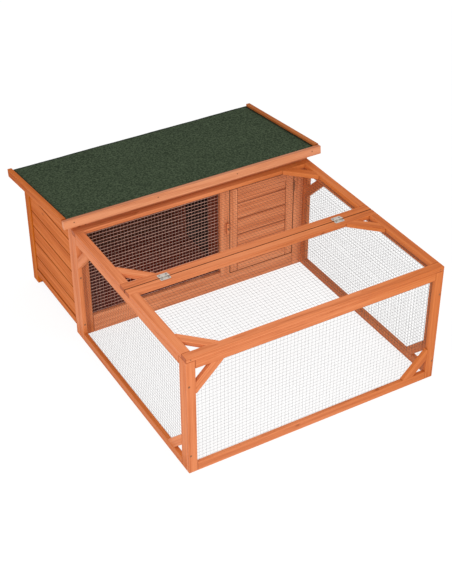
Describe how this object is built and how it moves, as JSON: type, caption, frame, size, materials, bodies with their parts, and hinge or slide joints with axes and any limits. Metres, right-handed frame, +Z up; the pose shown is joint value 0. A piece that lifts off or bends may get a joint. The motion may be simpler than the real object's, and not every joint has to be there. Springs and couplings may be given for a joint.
{
  "type": "guinea pig hutch",
  "caption": "Wooden hutch: a boarded house with a window, a door and a sloping felt roof that lifts, and a low open-bottomed wire run with a hinged lid in front of it.",
  "frame": {"origin": "on the ground, at the middle of the hutch's plan", "axes": "+X along the front to the right, +Y from the run's front to the back of the house, +Z up"},
  "size_m": [0.982, 1.2352, 0.495],
  "materials": {
    "frame_timber": "orange-stained fir",
    "wall_boards": "orange-stained fir boards",
    "inner_boards": "plain thin boards",
    "roof_felt": "green mineral-surfaced bitumen felt",
    "wire_net": "galvanised welded wire",
    "hinge_zinc": "bright zinc plate",
    "fasteners": "zinc-plated steel"
  },
  "bodies": {
    "hutch": {"front_left_post": "frame_timber", "front_right_post": "frame_timber", "rear_left_post": "frame_timber", "rear_right_post": "frame_timber", "left_wall_boards": "wall_boards", "right_wall_boards": "wall_boards", "rear_wall_boards": "wall_boards", "left_wall_bottom_rail": "frame_timber", "right_wall_bottom_rail": "frame_timber", "rear_wall_bottom_rail": "frame_timber", "rear_wall_top_rail": "frame_timber", "house_floor": "inner_boards", "front_toe_rail": "frame_timber", "front_sill": "frame_timber", "window_bottom_rail": "frame_timber", "front_top_rail": "frame_timber", "window_mullion": "frame_timber", "window_net": "wire_net", "partition_boards": "inner_boards", "door_stop": "frame_timber", "left_panel_stiles": "frame_timber", "left_panel_rails": "frame_timber", "left_panel_braces": "frame_timber", "left_panel_net": "wire_net", "right_panel_stiles": "frame_timber", "right_panel_rails": "frame_timber", "right_panel_braces": "frame_timber", "right_panel_net": "wire_net", "front_panel_stiles": "frame_timber", "front_panel_rails": "frame_timber", "front_panel_braces": "frame_timber", "front_panel_net": "wire_net", "rear_frame_long_rails": "frame_timber", "rear_frame_side_rails": "frame_timber", "rear_frame_braces": "frame_timber", "rear_frame_net": "wire_net", "panel_screws": "fasteners", "turn_button_screw": "fasteners", "hinge_pins": "hinge_zinc", "lid_hinge_fixed_leaves": "hinge_zinc", "door_hinge_fixed_leaves": "hinge_zinc", "roof_hinge_fixed_leaves": "hinge_zinc"},
    "lid": {"lid_long_rails": "frame_timber", "lid_side_rails": "frame_timber", "lid_braces": "frame_timber", "lid_net": "wire_net", "lid_hinge_moving_leaves": "hinge_zinc"},
    "roof": {"roof_deck": "inner_boards", "roof_felt": "roof_felt", "roof_left_batten": "frame_timber", "roof_right_batten": "frame_timber", "roof_fascia": "frame_timber", "fascia_nails": "fasteners", "roof_hinge_moving_leaves": "hinge_zinc"},
    "door": {"door_stiles": "frame_timber", "door_rails": "frame_timber", "door_boards": "wall_boards", "door_hinge_moving_leaves": "hinge_zinc"},
    "turn_button": {"turn_button": "frame_timber"}
  },
  "joints": [
    {"name": "lid_hinge", "type": "hinge", "parent": "hutch", "child": "lid", "pos_m": [0, -0.22859, 0.4419], "axis": [-1, 0, 0], "range_deg": [0, 168]},
    {"name": "roof_hinge", "type": "hinge", "parent": "hutch", "child": "roof", "pos_m": [0, 0.57371, 0.42551], "axis": [-1, 0, 0], "range_deg": [0, 90]},
    {"name": "door_hinge", "type": "hinge", "parent": "hutch", "child": "door", "pos_m": [0.402, 0.15791, 0.2303], "axis": [0, 0, 1], "range_deg": [0, 95]},
    {"name": "turn_button_pivot", "type": "hinge", "parent": "hutch", "child": "turn_button", "pos_m": [0.128, 0.15581, 0.253], "axis": [0, 1, 0], "range_deg": [0, 90]}
  ]
}
